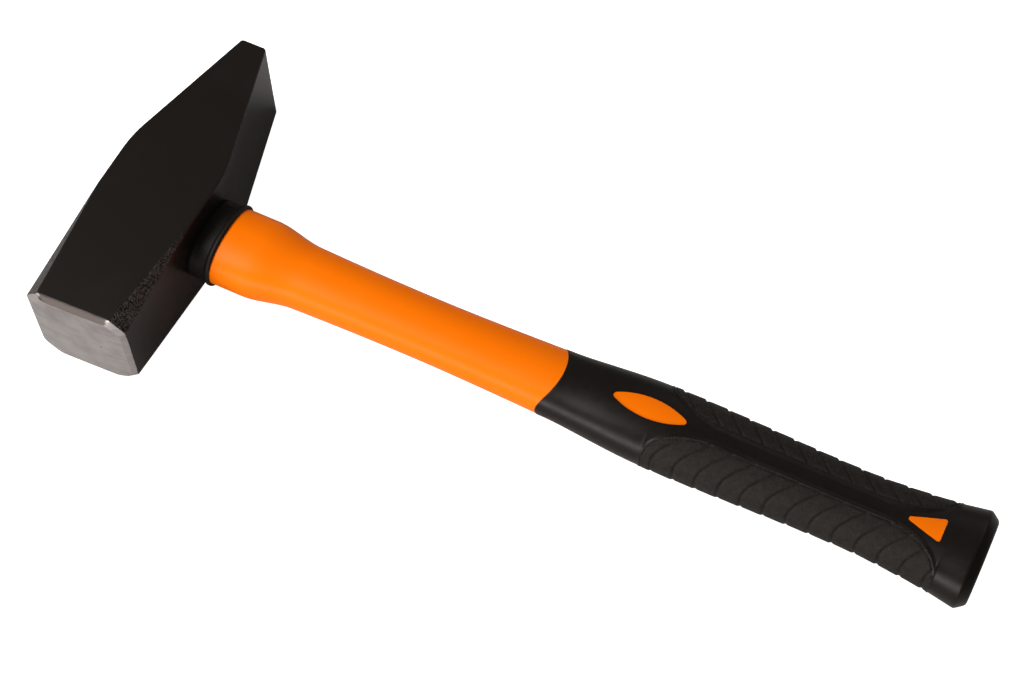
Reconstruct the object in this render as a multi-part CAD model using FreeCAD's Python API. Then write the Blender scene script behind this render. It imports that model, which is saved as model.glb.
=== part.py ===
import FreeCAD, Part
import math
import os

# Engineer's cross-peen hammer with a two-colour moulded fibreglass handle. All sizes are millimetres.
#
# The hammer lies on the side of its head. The origin is on the head's lower cheek, straight under the
# middle of the eye. +X runs along the handle to the butt, +Y runs to the peen, -Y to the striking face,
# and +Z is up. The handle's axis is parallel to X, at half the head's thickness.

# --- head: a square forging, tapered to a cross peen on one side of its eye
HEAD_SECTION = 47.0        # side of the square section, and the length of the peen's edge
FACE_REACH = 69.0          # eye centre to the top of the crowned striking face
PEEN_REACH = 86.0          # eye centre to the flat of the peen
PEEN_FLAT = 12.0           # width of the flat at the end of the peen
TAPER_START = 19.5         # eye centre to where the tapers would meet the straight flanks
TAPER_BEND_RADIUS = 60.0   # forged bend between a flank and its taper
PEEN_EDGE_RADIUS = 1.5     # rounding beside the flat of the peen
CROWN_RADIUS = 260.0       # spherical radius of the striking face
FACE_BEVEL = 3.2           # ground bevel round the face, measured back from the crown's top
CORNER_CUT = 6.3           # leg of the forged cut along each long corner, where it meets the face bevel
CORNER_CUT_END = 5.0       # distance from the eye centre, towards the face, where the corner cuts run out

# --- eye: an oval hole along X that widens to the side away from the handle
EYE_LENGTH = 34.0          # along Y, where the handle enters
EYE_WIDTH = 21.4           # along Z, where the handle enters
EYE_FLARE = 1.5            # how much further each wall stands out at the far side
EPOXY_GAP = 1.2            # resin between the handle's tongue and the narrow end of the eye
EPOXY_SINK = 1.2           # resin surface below the head's far side
TONGUE_COVER = 2.0         # resin over the end of the tongue

# --- handle: the whole outline, jacket and grip together
OVERALL_LENGTH = 400.0     # head's far side to the butt
SHOULDER_START = 25.0      # head's near side to where the thick neck begins to fall away
SHOULDER_END = 48.0        # head's near side to the foot of the shoulder
SHOULDER_HALF_WIDTH = 15.1
SHOULDER_HALF_HEIGHT = 10.6
WAIST_HALF_WIDTH = 14.1    # slimmest place between head and grip
WAIST_HALF_HEIGHT = 9.9
MOUTH_HALF_WIDTH = 15.3    # where the grip begins
MOUTH_HALF_HEIGHT = 10.7
PALM_HALF_WIDTH = 18.5     # swell at the front of the grip
PALM_HALF_HEIGHT = 12.9
REAR_HALF_WIDTH = 16.7     # slimmest place of the grip, in front of the butt
REAR_HALF_HEIGHT = 11.7
FLARE_HALF_WIDTH = 18.6    # half way along the flare of the butt
FLARE_HALF_HEIGHT = 13.0
BUTT_HALF_WIDTH = 21.7
BUTT_HALF_HEIGHT = 15.2
OVAL_POWER = 2.2           # 2 is an ellipse, more is squarer

# --- core: the oval glass-fibre bar
CORE_LENGTH = 20.0         # along Y
CORE_WIDTH = 12.0          # along Z
CORE_END_COVER = 18.0      # end of the core to the butt

# --- grip: the soft sleeve moulded over the jacket
GRIP_LENGTH = 189.5        # front edge, at the sides, to the butt
GRIP_WALL = 2.4
GRIP_END_WALL = 6.0        # rubber behind the end of the jacket
MOUTH_ARC_RADIUS = 23.1    # the grip's front edge is this arc, seen square on to the cheek
PALM_FROM_FRONT = 49.5
REAR_FROM_BUTT = 55.0
FLARE_FROM_BUTT = 24.0
BUTT_BEVEL = 4.0           # length of the bevel round the butt
BUTT_BEVEL_DROP = 3.0      # how far that bevel closes in

# --- windows: bosses of the jacket that show through the grip on both broad sides
OVAL_FROM_FRONT = 26.8     # grip's front edge to the near point of the oval window's arcs
OVAL_WINDOW_LENGTH = 35.6  # before its points are rounded
OVAL_WINDOW_WIDTH = 10.0
OVAL_END_RADIUS = 1.5
TRIANGLE_FROM_BUTT = 18.5  # butt to the base of the triangular window
TRIANGLE_LENGTH = 16.6     # before its corners are rounded
TRIANGLE_WIDTH = 11.4
TRIANGLE_CORNER_RADIUS = 1.0
WINDOW_SINK = 0.3          # boss surface below the grip's outline

# --- collar: the lipped rubber ring between the head and the jacket
COLLAR_LENGTH = 10.8
COLLAR_WALL = 3.2          # over the tongue
LIP_LENGTH = 2.1
LIP_HEIGHT = 1.1
POCKET_DEPTH = 1.0         # how far the jacket's neck sits inside the lip
NECK_INSET = 0.2           # jacket's neck below the collar's straight wall

# --- modelling detail
OVAL_POINTS = 24           # points on each oval section
SECTION_SPACING = 9.0      # most distance between two sections of a lofted surface
OVERCUT = 5.0              # how far cutting tools run past what they cut

# --- places that follow from the sizes above
HALF = HEAD_SECTION / 2
BUTT_X = OVERALL_LENGTH - HALF
COLLAR_END_X = HALF + COLLAR_LENGTH
NECK_X = COLLAR_END_X - POCKET_DEPTH
GRIP_X = BUTT_X - GRIP_LENGTH
BEVEL_X = BUTT_X - BUTT_BEVEL
JACKET_END_X = BUTT_X - GRIP_END_WALL
TONGUE_END_X = -HALF + EPOXY_SINK + TONGUE_COVER
TONGUE_HALF_WIDTH = EYE_LENGTH / 2 - EPOXY_GAP
TONGUE_HALF_HEIGHT = EYE_WIDTH / 2 - EPOXY_GAP
NECK_HALF_WIDTH = TONGUE_HALF_WIDTH + COLLAR_WALL - NECK_INSET
NECK_HALF_HEIGHT = TONGUE_HALF_HEIGHT + COLLAR_WALL - NECK_INSET

# x, half width and half height at each place where the handle's outline levels out
OUTLINE = [
    (HALF, NECK_HALF_WIDTH, NECK_HALF_HEIGHT),
    (HALF + SHOULDER_START, NECK_HALF_WIDTH, NECK_HALF_HEIGHT),
    (HALF + SHOULDER_END, SHOULDER_HALF_WIDTH, SHOULDER_HALF_HEIGHT),
    ((HALF + SHOULDER_END + GRIP_X) / 2, WAIST_HALF_WIDTH, WAIST_HALF_HEIGHT),
    (GRIP_X, MOUTH_HALF_WIDTH, MOUTH_HALF_HEIGHT),
    (GRIP_X + PALM_FROM_FRONT, PALM_HALF_WIDTH, PALM_HALF_HEIGHT),
    (BUTT_X - REAR_FROM_BUTT, REAR_HALF_WIDTH, REAR_HALF_HEIGHT),
    (BUTT_X - FLARE_FROM_BUTT, FLARE_HALF_WIDTH, FLARE_HALF_HEIGHT),
    (BEVEL_X, BUTT_HALF_WIDTH, BUTT_HALF_HEIGHT),
]


def point(x, y, z):
    return FreeCAD.Vector(x, y, z)


def slopes(values):
    """Slope of the outline at each of its places: level at a crest or a hollow, blended elsewhere."""
    steps = []
    for (x0, v0), (x1, v1) in zip(values, values[1:]):
        steps.append((v1 - v0) / (x1 - x0))
    result = [steps[0]]
    for before, after in zip(steps, steps[1:]):
        result.append(2 * before * after / (before + after) if before * after > 0 else 0.0)
    return result + [steps[-1]]


def follow(values, x):
    """Value at x on the smooth line through (x, value) pairs, which never overshoots them."""
    tilt = slopes(values)
    for i in range(len(values) - 1):
        (x0, v0), (x1, v1) = values[i], values[i + 1]
        if x <= x1 or i == len(values) - 2:
            span = x1 - x0
            t = (x - x0) / span
            rise = v0 * (1 + 2 * t) * (1 - t) ** 2 + v1 * t * t * (3 - 2 * t)
            return rise + span * (tilt[i] * t * (1 - t) ** 2 - tilt[i + 1] * t * t * (1 - t))


def half_sizes(x, inset):
    """Half width and half height of the handle's outline at x, drawn in by inset."""
    width = follow([(place, wide) for place, wide, high in OUTLINE], x)
    height = follow([(place, high) for place, wide, high in OUTLINE], x)
    return width - inset, height - inset


def oval(x, half_width, half_height):
    """Closed superellipse square to the handle, centred on its axis."""
    points = []
    for step in range(OVAL_POINTS):
        turn = 2 * math.pi * step / OVAL_POINTS
        across = math.copysign(abs(math.cos(turn)) ** (2 / OVAL_POWER), math.cos(turn))
        up = math.copysign(abs(math.sin(turn)) ** (2 / OVAL_POWER), math.sin(turn))
        points.append(point(x, half_width * across, HALF + half_height * up))
    curve = Part.BSplineCurve()
    curve.interpolate(points, PeriodicFlag=True)
    return Part.Wire([curve.toShape()])


def straight_oval(x0, x1, half_width, half_height):
    """Solid oval bar from x0 to x1."""
    face = Part.Face(oval(x0, half_width, half_height))
    return face.extrude(point(x1 - x0, 0, 0))


def tapered_oval(x0, sizes0, x1, sizes1):
    """Solid between two ovals of different size."""
    return Part.makeLoft([oval(x0, *sizes0), oval(x1, *sizes1)], True, True)


def outline_solid(x0, x1, inset):
    """The handle's outline from x0 to x1 as a smooth solid, drawn in by inset."""
    count = math.ceil((x1 - x0) / SECTION_SPACING)
    places = [x0 + (x1 - x0) * step / count for step in range(count + 1)]
    return Part.makeLoft([oval(x, *half_sizes(x, inset)) for x in places], True)


def block(low, high):
    """Box between two opposite corners."""
    return Part.makeBox(high[0] - low[0], high[1] - low[1], high[2] - low[2], point(*low))


def prism(points, direction):
    """Solid made by moving a flat polygon along direction."""
    return Part.Face(Part.makePolygon(points + points[:1])).extrude(direction)


def head_blank():
    """The head's plan outline, flanks, bends, tapers and peen, raised to its thickness."""
    start = -FACE_REACH
    corners = [
        (HALF, start),
        (HALF, TAPER_START),
        (PEEN_FLAT / 2, PEEN_REACH),
        (-PEEN_FLAT / 2, PEEN_REACH),
        (-HALF, TAPER_START),
        (-HALF, start),
    ]
    blank = prism([point(x, y, 0) for x, y in corners], point(0, 0, HEAD_SECTION))
    bends = upright_edges(blank, [corners[1], corners[4]])
    blank = blank.makeFillet(TAPER_BEND_RADIUS, bends)
    return blank.makeFillet(PEEN_EDGE_RADIUS, upright_edges(blank, [corners[2], corners[3]]))


def upright_edges(shape, places):
    """Edges parallel to Z that stand at the given plan positions."""
    found = []
    for edge in shape.Edges:
        middle = edge.CenterOfMass
        upright = edge.BoundBox.ZLength > 0.5 * shape.BoundBox.ZLength
        for x, y in places:
            if upright and math.hypot(middle.x - x, middle.y - y) < 0.01:
                found.append(edge)
    return found


def crown():
    """Ball that gives the striking face its crown."""
    return Part.makeSphere(CROWN_RADIUS, point(0, CROWN_RADIUS - FACE_REACH, HALF))


def face_bevels():
    """Four tools for the 45 degree bevels between the crown and the four sides of the head."""
    start = FACE_BEVEL - FACE_REACH
    reach = FACE_BEVEL + OVERCUT
    corners = [
        point(HALF + OVERCUT, start + OVERCUT, -OVERCUT),
        point(HALF - reach, start - reach, -OVERCUT),
        point(HALF + OVERCUT, start - reach, -OVERCUT),
    ]
    tool = prism(corners, point(0, 0, HEAD_SECTION + 2 * OVERCUT))
    return quarter_turns(tool, 0.0)


def quarter_turns(tool, first_angle):
    """Four copies of a tool, a quarter turn apart about the head's long axis."""
    tools = []
    for step in range(4):
        copy = tool.copy()
        copy.rotate(point(0, 0, HALF), point(0, 1, 0), first_angle + 90 * step)
        tools.append(copy)
    return tools


def corner_cuts():
    """Four tools for the forged cuts along the long corners, with the facet that ends each one."""
    ridge = HALF * math.sqrt(2)
    depth = CORNER_CUT / math.sqrt(2)
    start = FACE_BEVEL - FACE_REACH
    run = -CORNER_CUT_END - start
    reach = FACE_BEVEL + OVERCUT
    profile = [
        (ridge + OVERCUT, -CORNER_CUT_END + OVERCUT * run / depth),
        (ridge - depth, start),
        (ridge - depth - reach, start - reach),
        (ridge + OVERCUT, start - reach),
    ]
    low = HALF - HEAD_SECTION
    tool = prism([point(x, y, low) for x, y in profile], point(0, 0, 2 * HEAD_SECTION))
    return quarter_turns(tool, 45.0)


def eye():
    """The tapered oval hole, from the far side to the near side of the head."""
    far = (EYE_LENGTH / 2 + EYE_FLARE, EYE_WIDTH / 2 + EYE_FLARE)
    near = (EYE_LENGTH / 2, EYE_WIDTH / 2)
    return tapered_oval(-HALF, far, HALF, near)


def make_head():
    head = head_blank().common(crown())
    for tool in face_bevels() + corner_cuts():
        head = head.cut(tool)
    return head.cut(eye())


def make_core_rod():
    """The bar that carries the load, from the end of the tongue nearly to the butt."""
    return straight_oval(TONGUE_END_X, BUTT_X - CORE_END_COVER, CORE_LENGTH / 2, CORE_WIDTH / 2)


def tongue():
    """The slim end of the jacket, through the collar and into the eye."""
    return straight_oval(TONGUE_END_X, NECK_X, TONGUE_HALF_WIDTH, TONGUE_HALF_HEIGHT)


def throat_zone():
    """Everything on the head's side of the grip's curved front edge."""
    sagitta = MOUTH_ARC_RADIUS - math.sqrt(MOUTH_ARC_RADIUS ** 2 - MOUTH_HALF_WIDTH ** 2)
    centre = GRIP_X + sagitta - MOUTH_ARC_RADIUS
    disc = Part.makeCylinder(MOUTH_ARC_RADIUS, HEAD_SECTION, point(centre, 0, 0))
    width = MOUTH_ARC_RADIUS
    return disc.fuse(block((-HALF, -width, 0), (centre, width, HEAD_SECTION)))


def window_tools():
    """Upright prisms of the oval and the triangular window, through the whole handle."""
    return [oval_window(), triangle_window()]


def oval_window():
    """Lens of two equal arcs with blunted ends."""
    near = GRIP_X + OVAL_FROM_FRONT
    far = near + OVAL_WINDOW_LENGTH
    middle = (near + far) / 2
    side = OVAL_WINDOW_WIDTH / 2
    upper = Part.Arc(point(near, 0, 0), point(middle, side, 0), point(far, 0, 0))
    lower = Part.Arc(point(far, 0, 0), point(middle, -side, 0), point(near, 0, 0))
    wire = Part.Wire([upper.toShape(), lower.toShape()])
    lens = Part.Face(wire).extrude(point(0, 0, HEAD_SECTION))
    return lens.makeFillet(OVAL_END_RADIUS, upright_edges(lens, [(near, 0), (far, 0)]))


def triangle_window():
    """Triangle that points to the head, with rounded corners."""
    base = BUTT_X - TRIANGLE_FROM_BUTT
    side = TRIANGLE_WIDTH / 2
    corners = [(base - TRIANGLE_LENGTH, 0), (base, -side), (base, side)]
    wedge = prism([point(x, y, 0) for x, y in corners], point(0, 0, HEAD_SECTION))
    return wedge.makeFillet(TRIANGLE_CORNER_RADIUS, upright_edges(wedge, corners))


def grip_bed():
    """The slimmer length of the jacket that the grip is moulded on."""
    length = block((NECK_X, -HALF, 0), (JACKET_END_X, HALF, HEAD_SECTION))
    return outline_solid(NECK_X, BEVEL_X, GRIP_WALL).common(length)


def make_handle_jacket(core_rod):
    """Hard inner moulding: tongue, neck and throat outside, then the bed and the bosses of the grip."""
    throat = outline_solid(NECK_X, GRIP_X + MOUTH_ARC_RADIUS, 0.0).common(throat_zone())
    jacket = throat.fuse([grip_bed(), tongue()])
    boss_room = outline_solid(GRIP_X, BEVEL_X, WINDOW_SINK)
    for tool in window_tools():
        jacket = jacket.fuse(tool.common(boss_room))
    return jacket.cut(core_rod).removeSplitter()


def make_grip_sleeve():
    """Soft outer moulding with a bevelled butt, open at the windows."""
    bevel_end = (BUTT_HALF_WIDTH - BUTT_BEVEL_DROP, BUTT_HALF_HEIGHT - BUTT_BEVEL_DROP)
    butt = tapered_oval(BEVEL_X, (BUTT_HALF_WIDTH, BUTT_HALF_HEIGHT), BUTT_X, bevel_end)
    grip = outline_solid(GRIP_X, BEVEL_X, 0.0).fuse(butt)
    for tool in [grip_bed(), throat_zone()] + window_tools():
        grip = grip.cut(tool)
    return grip


def make_neck_collar(handle_jacket, core_rod):
    """Ring that seals the eye, with a raised lip round the jacket's neck."""
    half_width = TONGUE_HALF_WIDTH + COLLAR_WALL
    half_height = TONGUE_HALF_HEIGHT + COLLAR_WALL
    ring = straight_oval(HALF, COLLAR_END_X, half_width, half_height)
    lip = straight_oval(COLLAR_END_X - LIP_LENGTH, COLLAR_END_X, half_width + LIP_HEIGHT,
                        half_height + LIP_HEIGHT)
    return ring.fuse(lip).cut(handle_jacket).cut(core_rod).removeSplitter()


def make_eye_epoxy(handle_jacket, core_rod):
    """Resin that fills the eye round and over the tongue."""
    filling = eye().common(block((-HALF + EPOXY_SINK, -HALF, 0), (HALF, HALF, HEAD_SECTION)))
    return filling.cut(handle_jacket).cut(core_rod)


def main():
    core_rod = make_core_rod()
    handle_jacket = make_handle_jacket(core_rod)
    nodes = {
        "head": make_head(),
        "eye_epoxy": make_eye_epoxy(handle_jacket, core_rod),
        "core_rod": core_rod,
        "handle_jacket": handle_jacket,
        "neck_collar": make_neck_collar(handle_jacket, core_rod),
        "grip_sleeve": make_grip_sleeve(),
    }
    os.makedirs("parts", exist_ok=True)
    for name, shape in nodes.items():
        shape.exportStep(f"parts/{name}.step")
        box = shape.optimalBoundingBox(False)
        spans = f"{box.XLength:.1f} x {box.YLength:.1f} x {box.ZLength:.1f} mm"
        print(f"{name}: {len(shape.Solids)} solid, {spans}, {shape.Volume / 1000:.1f} cm3, "
              f"valid {shape.isValid()}")


main()
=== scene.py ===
# %% [markdown]
# # A cross-peen hammer with a moulded two-colour handle
#
# A heavy engineer's hammer is a forged and painted steel head, ground bare on its striking face, on a handle
# that is moulded in two steps: a hard orange jacket round a glass-fibre core, then a soft black grip over the
# jacket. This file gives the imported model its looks, one piece at a time.
#
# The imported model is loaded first. It stays where it is: every shape below is built round its boxes, in
# metres.

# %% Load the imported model
import math
import bmesh
import bpy
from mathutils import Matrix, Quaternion, Vector


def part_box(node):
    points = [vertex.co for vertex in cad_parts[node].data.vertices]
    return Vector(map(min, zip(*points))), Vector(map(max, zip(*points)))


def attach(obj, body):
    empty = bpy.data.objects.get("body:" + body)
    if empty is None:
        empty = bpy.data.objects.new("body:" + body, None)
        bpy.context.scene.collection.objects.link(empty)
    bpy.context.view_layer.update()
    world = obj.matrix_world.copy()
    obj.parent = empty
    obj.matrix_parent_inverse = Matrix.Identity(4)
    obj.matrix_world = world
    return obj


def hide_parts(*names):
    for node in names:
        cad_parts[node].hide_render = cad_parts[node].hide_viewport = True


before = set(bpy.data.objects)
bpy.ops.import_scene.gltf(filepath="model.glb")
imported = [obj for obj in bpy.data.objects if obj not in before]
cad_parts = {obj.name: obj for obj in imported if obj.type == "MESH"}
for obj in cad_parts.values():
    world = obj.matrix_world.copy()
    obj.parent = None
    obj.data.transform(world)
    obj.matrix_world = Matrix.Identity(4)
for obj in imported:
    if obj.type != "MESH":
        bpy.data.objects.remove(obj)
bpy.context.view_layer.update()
MM = 0.001
head_low, head_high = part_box("head")
collar_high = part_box("neck_collar")[1]
grip_low, grip_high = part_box("grip_sleeve")
resin_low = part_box("eye_epoxy")[0]
AXIS_Z = (head_low.z + head_high.z) / 2
HALF = (head_high.x - head_low.x) / 2
print("nodes:", sorted(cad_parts))
print("handle axis at", round(AXIS_Z / MM, 1), "mm, grip from", round(grip_low.x / MM, 1), "mm")

# %% [markdown]
# ## The camera and the studio
#
# The hammer lies on a pale floor and is seen from above its striking face. A camera is easiest to read as an
# aim point, two angles, a distance and a small roll, so a function turns those into a place and a rotation.
# The lights are large soft panels, because black paint and rubber show little else than what they reflect.
# The floor reads as plain white paper. It glows, but only for the camera: a floor that glowed for everything
# would be mirrored in the black parts and turn them grey.

# %% Camera
AIM = Vector((164.3 * MM, 10.3 * MM, AXIS_Z))
AZIMUTH, ELEVATION, ROLL = math.radians(26.63), math.radians(60.14), math.radians(-0.76)
DISTANCE = 862.7 * MM
LENS = 72.05


def direction(azimuth, elevation):
    """Unit vector from the aim point towards a camera or a light."""
    level = math.cos(elevation)
    return Vector((math.sin(azimuth) * level, -math.cos(azimuth) * level, math.sin(elevation)))


def add_object(name, data):
    """Object at the origin, in the scene."""
    made = bpy.data.objects.new(name, data)
    bpy.context.scene.collection.objects.link(made)
    return made


camera_data = bpy.data.cameras.new("camera")
camera_data.lens = LENS
camera_data.clip_start, camera_data.clip_end = 0.01, 20.0
camera = add_object("camera", camera_data)
back = direction(AZIMUTH, ELEVATION)
camera.location = AIM + back * DISTANCE
camera.rotation_mode = "QUATERNION"
camera.rotation_quaternion = (-back).to_track_quat("-Z", "Y") @ Quaternion((0, 0, 1), ROLL)
bpy.context.scene.camera = camera
print("camera at", [round(v, 3) for v in camera.location])

# %% Lights
WARM = (1.0, 0.955, 0.925)
LIGHTS = [
    # name, azimuth and elevation in degrees, distance, width and height in metres, power in watts
    ("key_panel", -68.0, 50.0, 1.3, 0.8, 0.6, 15.5),
    ("front_panel", -14.0, 15.0, 1.3, 1.3, 0.40, 14.0),
    ("fill_panel", 160.0, 35.0, 1.6, 1.2, 0.8, 2.6),
]


def add_panel(name, azimuth, elevation, distance, width, height, power):
    """Rectangular soft light that faces the aim point."""
    data = bpy.data.lights.new(name, "AREA")
    data.shape = "RECTANGLE"
    data.size, data.size_y, data.energy = width, height, power
    data.color = WARM
    panel = add_object(name, data)
    way = direction(math.radians(azimuth), math.radians(elevation))
    panel.location = AIM + way * distance
    panel.rotation_mode = "QUATERNION"
    panel.rotation_quaternion = way.to_track_quat("Z", "Y")


for light in LIGHTS:
    add_panel(*light)

print("lights:", [light[0] for light in LIGHTS])

# %% Floor and sky
FLOOR_HALF, FLOOR_GREY, SKY_STRENGTH = 6.0, 0.62, 0.12
floor_mesh = bpy.data.meshes.new("floor")
corners = [(FLOOR_HALF * x, FLOOR_HALF * y, 0.0) for x, y in ((-1, -1), (1, -1), (1, 1), (-1, 1))]
floor_mesh.from_pydata(corners, [], [(0, 1, 2, 3)])
floor = add_object("floor", floor_mesh)
paper = bpy.data.materials.new("white_paper")
paper.use_nodes = True
paper_shader = paper.node_tree.nodes["Principled BSDF"]
paper_shader.inputs["Base Color"].default_value = (FLOOR_GREY, FLOOR_GREY, FLOOR_GREY, 1)
paper_shader.inputs["Roughness"].default_value = 0.9
paper_shader.inputs["Emission Color"].default_value = (1, 1, 1, 1)
seen = paper.node_tree.nodes.new("ShaderNodeLightPath")
paper.node_tree.links.new(seen.outputs["Is Camera Ray"], paper_shader.inputs["Emission Strength"])
floor_mesh.materials.append(paper)

world = bpy.data.worlds.new("studio")
world.use_nodes = True
world.node_tree.nodes["Background"].inputs["Color"].default_value = (*WARM, 1)
world.node_tree.nodes["Background"].inputs["Strength"].default_value = SKY_STRENGTH
bpy.context.scene.world = world
bpy.context.scene.view_settings.view_transform = "Standard"
print("floor:", round(2 * FLOOR_HALF, 1), "m square")

# %% [markdown]
# ## Small helpers
#
# Two helpers carry most of this file. `new_piece` makes a mesh object whose faces point outwards. `Field`
# lets node trees be written as arithmetic: adding two fields adds a Math node. The same class serves the
# Geometry Nodes trees and the shader groups, because both use the same Math node.

# %% Mesh helper
MERGE = 0.001 * MM


def new_piece(name, vertices, faces):
    """Mesh object at the origin, with doubled points merged and faces turned outwards."""
    shape = bmesh.new()
    made = [shape.verts.new(v) for v in vertices]
    for face in faces:
        shape.faces.new([made[i] for i in face])
    bmesh.ops.remove_doubles(shape, verts=shape.verts, dist=MERGE)
    bmesh.ops.dissolve_degenerate(shape, edges=shape.edges, dist=MERGE)
    bmesh.ops.recalc_face_normals(shape, faces=shape.faces)
    mesh = bpy.data.meshes.new(name)
    shape.to_mesh(mesh)
    shape.free()
    mesh.shade_smooth()
    return add_object(name, mesh)


print("ready: new_piece")

# %% Node arithmetic


def arithmetic(tree, operation, *values):
    """One Math node fed by fields or plain numbers."""
    node = tree.nodes.new("ShaderNodeMath")
    node.operation = operation
    for slot, value in zip(node.inputs, values):
        feed(tree, value, slot)
    return Field(tree, node.outputs[0])


def feed(tree, value, slot):
    """Links a field to a socket, or sets a plain number on it."""
    if isinstance(value, Field):
        tree.links.new(value.socket, slot)
    else:
        slot.default_value = value


class Field:
    """A node socket that Python arithmetic extends with Math nodes."""

    def __init__(self, tree, socket):
        self.tree, self.socket = tree, socket

    def math(self, operation, *others):
        return arithmetic(self.tree, operation, self, *others)

    def __add__(self, other):
        return self.math("ADD", other)

    def __sub__(self, other):
        return self.math("SUBTRACT", other)

    def __rsub__(self, number):
        return arithmetic(self.tree, "SUBTRACT", number, self)

    def __mul__(self, other):
        return self.math("MULTIPLY", other)

    def __truediv__(self, other):
        return self.math("DIVIDE", other)

    def __rtruediv__(self, number):
        return arithmetic(self.tree, "DIVIDE", number, self)

    def __pow__(self, other):
        return self.math("POWER", other)

    def root(self):
        return self.math("MAXIMUM", 0.0).math("SQRT")

    def size(self):
        return self.math("ABSOLUTE")

    def smooth(self, low, high):
        """0 at low, 1 at high, and an S curve between them. low may be the larger of the two."""
        node = self.tree.nodes.new("ShaderNodeMapRange")
        node.interpolation_type = "SMOOTHSTEP"
        for name, value in (("Value", self), ("From Min", low), ("From Max", high)):
            feed(self.tree, value, node.inputs[name])
        return Field(self.tree, node.outputs["Result"])


print("ready: Field")

# %% Sockets, modifiers and booleans


def group_inputs(tree, names):
    """Adds inputs (name, socket type, default) to a node group. Returns a field for each, by name."""
    for name, kind, default in names:
        socket = tree.interface.new_socket(name=name, in_out="INPUT", socket_type=kind)
        if default is not None:
            socket.default_value = default
    node = tree.nodes.new("NodeGroupInput")
    return {name: Field(tree, node.outputs[name]) for name, kind, default in names}


def split(tree, vector):
    """X, Y and Z of a vector, as fields."""
    node = tree.nodes.new("ShaderNodeSeparateXYZ")
    tree.links.new(vector, node.inputs[0])
    return [Field(tree, socket) for socket in node.outputs]


def identifier(tree, name):
    """The identifier by which a modifier knows a named input."""
    for item in tree.interface.items_tree:
        if item.name == name and item.in_out == "INPUT":
            return item.identifier
    raise KeyError(name)


def run_tree(piece, tree, values):
    """Applies a Geometry Nodes tree to a piece and keeps the plain mesh."""
    modifier = piece.modifiers.new(tree.name, "NODES")
    modifier.node_group = tree
    for name, value in values.items():
        modifier[identifier(tree, name)] = value
    return keep_result(piece)


def keep_result(piece):
    """Replaces a piece's mesh with its modifiers' result and removes the modifiers."""
    bpy.context.view_layer.update()
    evaluated = piece.evaluated_get(bpy.context.evaluated_depsgraph_get())
    mesh = bpy.data.meshes.new_from_object(evaluated)
    piece.modifiers.clear()
    piece.data = mesh
    mesh.name = piece.name
    return piece


def cut_or_join(piece, other, operation):
    """Boolean of two solids. The other solid is used up."""
    modifier = piece.modifiers.new(operation.lower(), "BOOLEAN")
    modifier.operation, modifier.solver, modifier.object = operation, "EXACT", other
    keep_result(piece)
    bpy.data.objects.remove(other)
    return piece


def crisp(piece, degrees=38.0):
    """Shades smooth, but keeps edges that turn more than an angle."""
    piece.data.shade_smooth()
    piece.data.set_sharp_from_angle(angle=math.radians(degrees))


def report(piece):
    """Prints how large a finished piece is."""
    triangles = sum(len(p.vertices) - 2 for p in piece.data.polygons)
    print(piece.name, "triangles:", triangles, "size mm:", [round(v / MM, 1) for v in piece.dimensions])


print("ready: group inputs, modifiers and booleans")

# %% [markdown]
# ## Oval turning with Geometry Nodes
#
# Jacket, grip and collar are all moulded round one straight axis and are oval in section, so each could be
# modelled by pushing points about, by a curve with a bevel, or by one rule. A rule keeps them concentric and
# lets them meet exactly: it turns an outline round the axis, as a lathe does, but makes every ring a
# superellipse. The outline is a line of points whose coordinates mean (place along X, half width, half
# height). The tree lays a grid with one row for each outline point and bends it round the axis.
# A point's `tongue` value draws it towards the curved front edge that the grip has.

# %% Steps that both trees use


def attribute(tree, name):
    """A named value that the points of a mesh carry."""
    node = tree.nodes.new("GeometryNodeInputNamedAttribute")
    node.data_type = "FLOAT"
    node.inputs["Name"].default_value = name
    return Field(tree, node.outputs["Attribute"])


def store(tree, geometry, name, value):
    """Writes a value on the points of a mesh under a name."""
    node = tree.nodes.new("GeometryNodeStoreNamedAttribute")
    node.data_type, node.domain = "FLOAT", "POINT"
    node.inputs["Name"].default_value = name
    tree.links.new(geometry, node.inputs["Geometry"])
    feed(tree, value, node.inputs["Value"])
    return node.outputs["Geometry"]


def finish_tree(tree, geometry, material):
    """Ends a tree in Realize Instances and Set Material."""
    tree.interface.new_socket(name="Result", in_out="OUTPUT", socket_type="NodeSocketGeometry")
    real = tree.nodes.new("GeometryNodeRealizeInstances")
    painted = tree.nodes.new("GeometryNodeSetMaterial")
    out = tree.nodes.new("NodeGroupOutput")
    tree.links.new(geometry, real.inputs[0])
    tree.links.new(real.outputs[0], painted.inputs["Geometry"])
    tree.links.new(material, painted.inputs["Material"])
    tree.links.new(painted.outputs[0], out.inputs[0])


print("ready: attribute, store, finish_tree")

# %% The oval turning tree


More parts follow.
